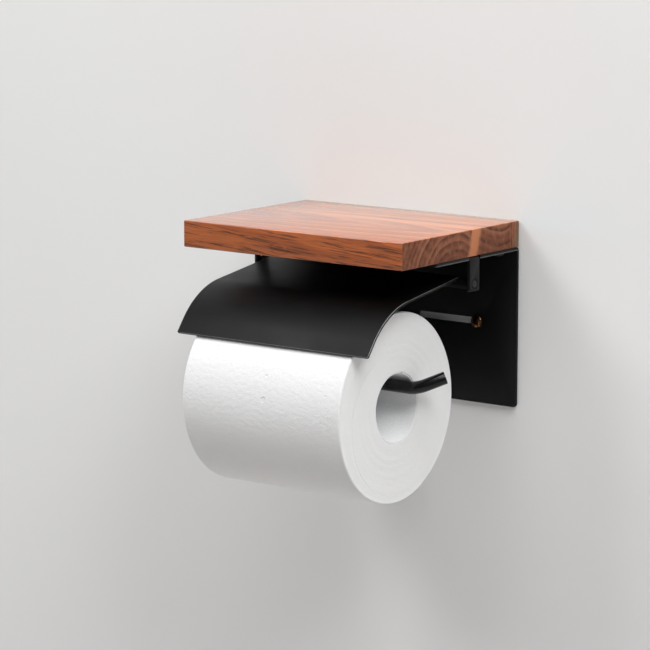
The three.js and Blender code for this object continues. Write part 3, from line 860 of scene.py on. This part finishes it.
def bracket_outline():
    """The blank's edge, anticlockwise from the plate's bottom right corner."""
    r = PLATE_CORNER_R
    ear_r = 1.0 * MM
    root = EAR_BEND - 1.0 * MM        # how far in the relief cuts beside an ear go
    ear_back, ear_front = blank_v(EAR_MID_Y + EAR_HALF), blank_v(EAR_MID_Y - EAR_HALF)
    right = arc(HALF_SPAN - r, r, r, -90, 0, 6)
    right += [(HALF_SPAN, ear_back - EAR_RELIEF), (root, ear_back - EAR_RELIEF), (root, ear_back)]
    right += arc(EAR_END - ear_r, ear_back + ear_r, ear_r, -90, 0, 5)
    right += arc(EAR_END - ear_r, ear_front - ear_r, ear_r, 0, 90, 5)
    right += [(root, ear_front), (root, ear_front + EAR_RELIEF), (HALF_SPAN, ear_front + EAR_RELIEF)]
    right += arc(HALF_SPAN - r, FLANGE_END - r, r, 0, 90, 6)
    return right + [(-u, v) for u, v in reversed(right)]


def circle(cu, cv, r, steps=28):
    return arc(cu, cv, r, 0, 360, steps)[:-1]


SHELF_SCREWS = ("shelf_screw_back_left", "shelf_screw_back_right",
                "shelf_screw_front_left", "shelf_screw_front_right")


def screw_place(node):
    """Where a shelf screw stands on the flange."""
    lo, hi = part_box(node)
    return (lo.x + hi.x) / 2, (lo.y + hi.y) / 2


def make_bracket():
    """Wall plate with two slots, flange under the shelf and two ears, of one sheet."""
    outlines = [bracket_outline()]
    slot_v = -PLATE_BOTTOM_Z
    ear_hole_u = EAR_START + (FLANGE_TOP_Z - BEND_R - HINGE.z)
    for side in (1, -1):
        left, right = sorted((side * (SLOT_INNER + SLOT_HALF), side * (SLOT_OUTER - SLOT_HALF)))
        outlines.append(arc(left, slot_v, SLOT_HALF, 90, 270, 12)
                        + arc(right, slot_v, SLOT_HALF, -90, 90, 12))
        outlines.append(circle(side * ear_hole_u, blank_v(EAR_MID_Y), EAR_HOLE_R))
    for node in SHELF_SCREWS:
        x, y = screw_place(node)
        outlines.append(circle(x, blank_v(y), SHELF_SCREW_HOLE_R, 16))
    guides = [((-HALF_SPAN - MM, v), (HALF_SPAN + MM, v)) for v in spread(PLATE_RUN, BEND_RUN, BEND_STEPS)]
    ear_back, ear_front = blank_v(EAR_MID_Y + EAR_HALF), blank_v(EAR_MID_Y - EAR_HALF)
    guides += [((side * u, ear_back), (side * u, ear_front))
               for u in spread(EAR_BEND, BEND_RUN, BEND_STEPS) for side in (1, -1)]
    piece = folded_sheet("bracket_sheet", outlines, guides, fold_bracket, SHEET, 0.22 * MM)
    fit_out(piece, "holder", "bracket_coat", coat_bracket, "wall_bracket")


# ---------------------------------------------------------------------------
# The cover
# ---------------------------------------------------------------------------
def cover_runs():
    """Lengths of the straight back, the curve and the straight front lip, along the outer face."""
    back = (HINGE.y - COVER_CURVE_Y) / math.cos(COVER_SLOPE)
    curve = COVER_CURVE_R * (COVER_END_SLOPE - COVER_SLOPE)
    end_y = COVER_CURVE_Y - COVER_CURVE_R * (math.sin(COVER_END_SLOPE) - math.sin(COVER_SLOPE))
    lip = (end_y - COVER_LO.y) / math.cos(COVER_END_SLOPE)
    return back, curve, lip


BACK_RUN, CURVE_RUN, LIP_RUN = cover_runs()
CURVE_STEPS = 40


def fold_cover(u, v):
    """From the flat blank to the outer face of the cover."""
    top_z = HINGE.z + HINGE_TUBE_R
    if v <= BACK_RUN:
        return Vector((u, HINGE.y - v * math.cos(COVER_SLOPE), top_z - v * math.sin(COVER_SLOPE)))
    curve_z = top_z - BACK_RUN * math.sin(COVER_SLOPE)
    a = COVER_SLOPE + min(v - BACK_RUN, CURVE_RUN) / COVER_CURVE_R
    y = COVER_CURVE_Y - COVER_CURVE_R * (math.sin(a) - math.sin(COVER_SLOPE))
    z = curve_z - COVER_CURVE_R * (math.cos(COVER_SLOPE) - math.cos(a))
    rest = max(v - BACK_RUN - CURVE_RUN, 0)
    return Vector((u, y - rest * math.cos(a), z - rest * math.sin(a)))


def make_cover():
    """The curved sheet and the tube that it hangs from."""
    half, r = COVER_HI.x, COVER_CORNER_R
    start = 1.7 * MM                  # the welded edge ends in the tube's wall, clear of the pin
    end = BACK_RUN + CURVE_RUN + LIP_RUN
    outline = [(-half, start), (half, start)]
    outline += arc(half - r, end - r, r, 0, 90, 6) + arc(-half + r, end - r, r, 90, 180, 6)
    guides = [((-half - MM, v), (half + MM, v)) for v in spread(BACK_RUN, CURVE_RUN, CURVE_STEPS)]
    sheet = folded_sheet("cover_sheet", [outline], guides, fold_cover, COVER_THICK, 0.15 * MM, 20)
    fit_out(sheet, "cover", "cover_coat", coat_cover, "roll_cover")

    outline = tube_outline(HINGE_BORE_R, HINGE_TUBE_R, TUBE_LO.x, TUBE_HI.x, 0.3 * MM, HINGE_TUBE_R)
    tube = lathe("hinge_tube_sleeve", outline, HINGE, segments=64)
    fit_out(tube, "cover", "cover_coat", coat_tube, "hinge_tube")


def rounded_ends(outer_r, x0, x1, edge, start_turns, end_turns):
    """The two rounded edges of a turned outline, at x0 and at x1; the turns are in degrees."""
    r = outer_r - edge
    start = [(r + edge * math.sin(a), x0 + edge - edge * math.cos(a)) for a in map(math.radians, start_turns)]
    end = [(r + edge * math.cos(a), x1 - edge + edge * math.sin(a)) for a in map(math.radians, end_turns)]
    return start, end


def make_hinge_pin():
    """The rod through both ears, on which the tube turns."""
    x0, x1 = PIN_LO.x, PIN_HI.x
    edge = 0.35 * MM
    left, right = rounded_ends(HINGE_PIN_R, x0, x1, edge, (0, 30, 60, 90), (0, 30, 60, 90))
    pin = lathe("hinge_pin_rod", [(0, x0)] + left + right + [(0, x1)], HINGE, segments=48, closed=False)
    fit_out(pin, "holder", "bracket_coat", coat_bar, "hinge_pin")


# ---------------------------------------------------------------------------
# The roll bar
# ---------------------------------------------------------------------------
def make_roll_bar():
    """Out from the plate, along through the roll, then turned back and up at its tip."""
    tip_way = Vector((math.cos(BAR_TIP_TURN),
                      math.sin(BAR_TIP_TURN) * math.cos(BAR_TIP_RISE),
                      math.sin(BAR_TIP_TURN) * math.sin(BAR_TIP_RISE)))
    corner = Vector((BAR_CORNER_X, BAR_Y, BAR_Z))
    points = [
        Vector((BAR_ARM_X, -SHEET + BAR_FOOT, BAR_Z)),
        Vector((BAR_ARM_X, BAR_Y, BAR_Z)),
        corner,
        corner + tip_way * BAR_TIP_LENGTH,
    ]
    line = bent_line(points, [BAR_BEND_R, BAR_TIP_BEND_R], 20)
    bar = swept_rod("roll_bar_rod", line, BAR_R, 0.5 * MM, 48)
    fit_out(bar, "holder", "bracket_coat", coat_bar, "roll_bar")
    make_weld_bead(Vector((BAR_ARM_X, -SHEET, BAR_Z)))


def make_weld_bead(foot):
    """A fillet of weld round the bar's foot, with the small ripples of the pass."""
    bm = bmesh.new()
    around, across = 96, 8
    ripples = 26
    sunk_r, sunk = BAR_R - 0.6 * MM, 0.1 * MM
    rings = []
    for i in range(around):
        a = 2 * math.pi * i / around
        leg = 2.2 * MM * (1 + 0.07 * math.sin(ripples * a) + 0.05 * math.sin(3 * a + 1))
        profile = [(BAR_R - 0.15 * MM + leg * (1 - math.sin(t) * 0.96), -leg * (1 - math.cos(t) * 0.98))
                   for t in spread(0, math.pi / 2, across)] + [(sunk_r, sunk)]
        rings.append([bm.verts.new(foot + Vector((r * math.cos(a), y, r * math.sin(a)))) for r, y in profile])
    for here, there in zip(rings, rings[1:] + rings[:1]):
        bridge(bm, here, there)
    bead = object_from_bmesh("bar_weld_bead", bm, 60)
    fit_out(bead, "holder", "bracket_coat", coat_bar)


# ---------------------------------------------------------------------------
# The shelf
# ---------------------------------------------------------------------------
def make_stave(name, node, y0, y1, material):
    """A stave of the shelf, its outside edges eased and its glued edges left square."""
    x0, x1, z0, z1 = FRONT_LO.x, FRONT_HI.x, FRONT_LO.z, FRONT_HI.z
    bm = bmesh.new()
    corners = [bm.verts.new((x, y, z)) for x in (x0, x1) for y in (y0, y1) for z in (z0, z1)]
    for face in ((0, 1, 3, 2), (4, 6, 7, 5), (0, 4, 5, 1), (2, 3, 7, 6), (0, 2, 6, 4), (1, 5, 7, 3)):
        bm.faces.new([corners[i] for i in face])
    bmesh.ops.recalc_face_normals(bm, faces=bm.faces)
    glued = [y for y in (y0, y1) if FRONT_LO.y + MM < y < BACK_HI.y - MM]

    def on_glue_line(edge):
        ys = [v.co.y for v in edge.verts]
        return any(all(abs(y - g) < 1e-7 for y in ys) for g in glued)

    outside = [e for e in bm.edges if not on_glue_line(e)]
    bmesh.ops.bevel(bm, geom=outside, offset=0.7 * MM, offset_type="OFFSET", segments=4,
                    profile=0.5, affect="EDGES", clamp_overlap=True)
    piece = object_from_bmesh(name, bm, 30)
    fit_out(piece, "holder", "shelf_wood", material, node)


def make_shelf():
    """Three staves, glued edge to edge."""
    front_seam = (FRONT_HI.y + MIDDLE_LO.y) / 2
    back_seam = (MIDDLE_HI.y + BACK_LO.y) / 2
    make_stave("stave_front", "shelf_stave_front", FRONT_LO.y, front_seam, timber_front)
    make_stave("stave_middle", "shelf_stave_middle", front_seam, back_seam, timber_middle)
    make_stave("stave_back", "shelf_stave_back", back_seam, BACK_HI.y, timber_back)


# ---------------------------------------------------------------------------
# Screws
# ---------------------------------------------------------------------------
SHELF_HEAD_H = 2.6 * MM
WALL_HEAD_H = 2.9 * MM


def cross_cutter(width, depth, top):
    """The tapered cross that a driver fits, to be cut from a screw's head."""
    bm = bmesh.new()
    half, arm = width / 2, width * 0.13
    low_half, low_arm = width * 0.22, arm * 0.6
    for turn in (0, math.pi / 2):
        spin = Matrix.Rotation(turn, 3, "Z")
        loop_top, loop_low = [], []
        for sx, sy in ((-1, -1), (1, -1), (1, 1), (-1, 1)):
            loop_top.append(bm.verts.new(spin @ Vector((sx * half, sy * arm, top + 0.5 * MM))))
            loop_low.append(bm.verts.new(spin @ Vector((sx * low_half, sy * low_arm, top - depth))))
        cap_ends(bm, [loop_top, loop_low])
        bridge(bm, loop_low, loop_top)
    return object_from_bmesh("driver_cross", bm)


def screw_head(head_r, head_h):
    """A low dome on a short rim, with the driver's cross cut into it."""
    rim = head_h * 0.22
    outline = [(0, 0), (head_r - 0.25 * MM, 0), (head_r, 0.2 * MM)]
    outline += [(head_r * math.cos(a), rim + (head_h - rim) * math.sin(a))
                for a in spread(0, math.pi / 2, 12)[:-1]] + [(0, head_h)]
    head = lathe("head", outline, Vector((0, 0, 0)), axis="Z", segments=64, closed=False)
    cutter = cross_cutter(head_r * 1.36, head_h * 0.8, head_h)
    cut = head.modifiers.new("driver recess", "BOOLEAN")
    cut.operation = "DIFFERENCE"
    cut.solver = "EXACT"
    cut.object = cutter
    cut.use_self = True               # the cutter's two arms cross each other
    apply_modifiers(head)
    bpy.data.objects.remove(cutter)
    return head


def screw_shank(shank_r, length, pitch):
    """A tapered, pointed shank with a raised helical thread, below Z = 0."""
    smooth_run = 3.0 * MM
    core_r, neck_r = shank_r * 0.72, shank_r * 0.9
    point = shank_r * 2.6             # length of the tapered point
    outline = [(0, 0.1 * MM), (neck_r, 0.1 * MM), (neck_r, -smooth_run),
               (core_r, -smooth_run - 0.6 * MM), (core_r, -length + point),
               (core_r * 0.25, -length + 0.3 * MM), (0, -length)]
    shank = lathe("shank", outline, Vector((0, 0, 0)), axis="Z", segments=32, closed=False)
    bm = bmesh.new()
    turns = (length - smooth_run - 0.9 * MM) / pitch
    per_turn = 28
    foot, crest_half = 0.42 * pitch / 2, 0.05 * MM
    rings = []
    for i in range(int(turns * per_turn) + 1):
        a = 2 * math.pi * i / per_turn
        z = -smooth_run - 0.3 * MM - pitch * i / per_turn
        taper = max(0.12, min(1.0, (length + z) / point))
        fade = min(1.0, i / (per_turn * 0.8))
        root = core_r * taper * 0.96
        crest = root + (shank_r - core_r) * (0.3 + 0.7 * taper) * fade + 0.02 * MM
        rings.append([bm.verts.new((r * math.cos(a), r * math.sin(a), z + dz)) for r, dz in (
            (root, foot), (crest, crest_half), (crest, -crest_half), (root, -foot))])
    for here, there in zip(rings, rings[1:]):
        bridge(bm, here, there)
    cap_ends(bm, rings)
    return shank, object_from_bmesh("thread", bm, 25)


def join_pieces(name, parts, matrix):
    """Makes one piece of several, moved to its place."""
    bm = bmesh.new()
    for part in parts:
        bm.from_mesh(part.data)
    bmesh.ops.transform(bm, matrix=matrix, verts=bm.verts)
    mesh = bpy.data.meshes.new(name)
    bm.to_mesh(mesh)
    bm.free()
    for part in parts:
        bpy.data.objects.remove(part)
    piece = new_object(name, mesh)
    shade_by_angle(piece, 32)
    return piece


def make_screw(name, node, head_h, shank_r, length, pitch, place, slot_name, material):
    """One screw of a head, a shank and a thread, in its place."""
    lo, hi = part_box(node)
    head = screw_head((hi.x - lo.x) / 2, head_h)
    piece = join_pieces(name, [head, *screw_shank(shank_r, length, pitch)], place)
    fit_out(piece, "holder", slot_name, material, node)


def driven(at, tilt, turn):
    """Places a screw made point down: tilted about X, its cross turned by some degrees."""
    return Matrix.Translation(at) @ Matrix.Rotation(tilt, 4, "X") \
        @ Matrix.Rotation(math.radians(turn), 4, "Z")


def make_screws():
    """Four up through the flange, and two through the slots into the wall."""
    for node in SHELF_SCREWS:
        lo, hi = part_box(node)
        seat_z = lo.z + SHELF_HEAD_H
        turn = random.Random(node).uniform(0, 90)
        make_screw(node.replace("shelf_screw", "wood_screw"), node, SHELF_HEAD_H, 1.75 * MM,
                   hi.z - seat_z, 1.3 * MM, driven((*screw_place(node), seat_z), math.pi, turn),
                   "shelf_screw_steel", black_screw)
    for node, turn in (("wall_screw_left", 20), ("wall_screw_right", 52)):
        lo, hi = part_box(node)
        seat_y = lo.y + WALL_HEAD_H
        at = ((lo.x + hi.x) / 2, seat_y, (lo.z + hi.z) / 2)
        make_screw(node.replace("wall_screw", "round_head_screw"), node, WALL_HEAD_H, 1.9 * MM,
                   hi.y - seat_y, 1.5 * MM, driven(at, math.pi / 2, turn),
                   "wall_screw_bronze", bronze)


# ---------------------------------------------------------------------------
# The paper roll
# ---------------------------------------------------------------------------
ROLL_FLUFF = 0.6 * MM                 # the cut ends fluff up past the wound width
ROLL_EDGE = 0.9 * MM
SHEET_GAUGE = 0.28 * MM               # two plies at the step where the last sheet ends
TAIL_ANGLE = math.radians(-62)


def make_roll():
    """The wound tissue, a little out of true, and its card core."""
    rnd = random.Random(41)
    half_x = (ROLL_HI.x - ROLL_LO.x) / 2 + ROLL_FLUFF
    mid_x = (ROLL_HI.x + ROLL_LO.x) / 2 - 0.2 * MM
    inner = CORE_R + 0.1 * MM
    # each end is a little uneven, as layers that slid when the roll was wound
    radii = spread(inner, ROLL_R - ROLL_EDGE - inner, 26)
    uneven = [[rnd.uniform(-0.10, 0.10) * MM for _ in radii] for _ in (0, 1)]
    face_x = half_x - 0.12 * MM
    left, right = rounded_ends(ROLL_R, -half_x, half_x, ROLL_EDGE, (18, 36, 54, 72, 90), (0, 18, 36, 54, 72))
    outline = [(r, -face_x + bulge) for r, bulge in zip(radii, uneven[0])] + left
    outline += [(ROLL_R, x) for x in spread(-half_x + ROLL_EDGE, 2 * (half_x - ROLL_EDGE), 60)[1:-1]]
    outline += right + [(r, face_x - bulge) for r, bulge in reversed(list(zip(radii, uneven[1])))]
    roll = lathe("tissue_roll", outline, Vector((mid_x, ROLL_AXIS.y, ROLL_AXIS.z)), segments=256)
    waves = [(rnd.uniform(-60, 60), rnd.randint(1, 7), rnd.uniform(0, 6.28), rnd.uniform(0.02, 0.07) * MM)
             for _ in range(9)]
    for v in roll.data.vertices:
        dy, dz = v.co.y - ROLL_AXIS.y, v.co.z - ROLL_AXIS.z
        r = math.hypot(dy, dz)
        if r < inner + 3 * MM:
            continue
        angle = math.atan2(dz, dy)
        dent = sum(depth * math.sin(k * v.co.x + m * angle + start) for k, m, start, depth in waves)
        # the last sheet ends in a small step behind and below
        wound = SHEET_GAUGE * (((angle - TAIL_ANGLE) / (2 * math.pi)) % 1.0)
        share = (r - inner) / (ROLL_R - inner)
        scale = (r + (dent + 0.08 * MM - SHEET_GAUGE + wound) * share) / r
        v.co.y = ROLL_AXIS.y + dy * scale
        v.co.z = ROLL_AXIS.z + dz * scale
    fit_out(roll, "roll", "tissue", tissue, "paper_roll")

    outline = tube_outline(CORE_BORE_R, CORE_R, CORE_LO.x, CORE_HI.x, 0.25 * MM, CORE_BORE_R)
    core = lathe("card_core", outline, ROLL_AXIS, segments=128)
    fit_out(core, "roll", "core_card", card, "roll_core")


make_bracket()
make_cover()
make_hinge_pin()
make_roll_bar()
make_shelf()
make_screws()
make_roll()


# ---------------------------------------------------------------------------
# Studio: wall, floor, light and camera
# ---------------------------------------------------------------------------
def over_shelf(n, place):
    """1 on the wall just over the shelf, fading out round it."""
    x, _, z = n.split(place)
    aside = n.math("DIVIDE", n.math("SUBTRACT", x, COOL_MIDDLE_X), COOL_HALF_WIDTH)
    above = n.math("DIVIDE", n.math("SUBTRACT", z, FRONT_HI.z), COOL_HEIGHT)
    away = n.math("SQRT", n.math("ADD", n.math("POWER", aside, 2.0), n.math("POWER", above, 2.0)))
    return n.times(n.remap(away, 0.0, 1.0, 1.0, 0.0), n.remap(z, FRONT_HI.z - 10 * MM, FRONT_HI.z))


def stage_finish(name, tone, see_through_back=False, cool_tone=None):
    """Plain matt paint. cool_tone: a slightly cooler tone over the shelf, where the timber's warm
    bounce would otherwise colour the wall."""
    material, n, shader = new_material(name)
    place = n.add("ShaderNodeTexCoord").outputs["Object"]
    darker = colour(*(c * 0.96 for c in tone[:3]))
    paint = n.mix(n.noise(place, 4.0, 3.0, 0.5), tone, darker)
    if cool_tone is not None:
        paint = n.mix(over_shelf(n, place), paint, cool_tone)
    n.feed(shader.inputs["Base Color"], paint)
    shader.inputs["Roughness"].default_value = 0.9
    shader.inputs["Specular IOR Level"].default_value = 0.2
    if see_through_back:
        pick = n.add("ShaderNodeMixShader")
        n.feed(pick.inputs[0], n.add("ShaderNodeNewGeometry").outputs["Backfacing"])
        n.feed(pick.inputs[1], shader.outputs["BSDF"])
        n.feed(pick.inputs[2], n.add("ShaderNodeBsdfTransparent").outputs[0])
        out = [node for node in material.node_tree.nodes if node.type == "OUTPUT_MATERIAL"][0]
        n.feed(out.inputs["Surface"], pick.outputs[0])
    return material


def stage_plane(name, corners, material):
    mesh = bpy.data.meshes.new(name)
    mesh.from_pydata(corners, [], [(0, 1, 2, 3)])
    plane = new_object(name, mesh)
    plane.data.materials.append(material)


def soft_light(name, place, aim, size, power):
    """A softbox, aimed at a point."""
    light = bpy.data.lights.new(name, "AREA")
    light.shape = "RECTANGLE"
    light.size, light.size_y = size
    light.energy = power
    lamp = new_object(name, light)
    lamp.location = place
    lamp.rotation_euler = (Vector(aim) - Vector(place)).to_track_quat("-Z", "Y").to_euler()


WALL_Y = 0.4 * MM
WALL_TOP_Z = 3
FLOOR_Z = -1.1
FLOOR_FRONT_Y, FLOOR_BACK_Y = -5, 3
ROOM_HALF = 4
COOL_MIDDLE_X = 0.015
COOL_HALF_WIDTH, COOL_HEIGHT = 0.15, 0.17

wall_paint = stage_finish("wall_paint", colour(0.85, 0.85, 0.845), see_through_back=True,
                          cool_tone=colour(0.835, 0.900, 0.915))
floor_paint = stage_finish("floor_paint", colour(0.74, 0.71, 0.69))
stage_plane("wall", [(-ROOM_HALF, WALL_Y, FLOOR_Z), (ROOM_HALF, WALL_Y, FLOOR_Z),
                     (ROOM_HALF, WALL_Y, WALL_TOP_Z), (-ROOM_HALF, WALL_Y, WALL_TOP_Z)], wall_paint)
stage_plane("floor", [(-ROOM_HALF, FLOOR_FRONT_Y, FLOOR_Z), (ROOM_HALF, FLOOR_FRONT_Y, FLOOR_Z),
                      (ROOM_HALF, FLOOR_BACK_Y, FLOOR_Z), (-ROOM_HALF, FLOOR_BACK_Y, FLOOR_Z)], floor_paint)

soft_light("left_softbox", (-1.3, -1.45, 1.7), (0, -0.06, 0.0), (1.1, 1.0), 27)
soft_light("right_softbox", (1.6, -0.95, 1.7), (0.1, -0.04, 0.0), (1.0, 1.0), 32)
soft_light("overhead", (0.35, -0.55, 2.0), (0.05, -0.02, 0.0), (1.4, 0.9), 28)

world = bpy.data.worlds.new("studio")
bpy.context.scene.world = world
world.use_nodes = True
sky = world.node_tree.nodes["Background"]
sky.inputs["Color"].default_value = colour(0.95, 0.97, 1.0)
sky.inputs["Strength"].default_value = 0.17

camera_data = bpy.data.cameras.new("camera")
camera_data.lens = 160.7
camera_data.sensor_width = 36.0
camera_data.clip_end = 50
camera = new_object("camera", camera_data)
camera.location = (1.0193, -1.4368, 0.2976)
camera.rotation_euler = (math.radians(90 - 9.85), 0, math.radians(37.04))
bpy.context.scene.camera = camera
bpy.context.scene.view_settings.view_transform = "Standard"
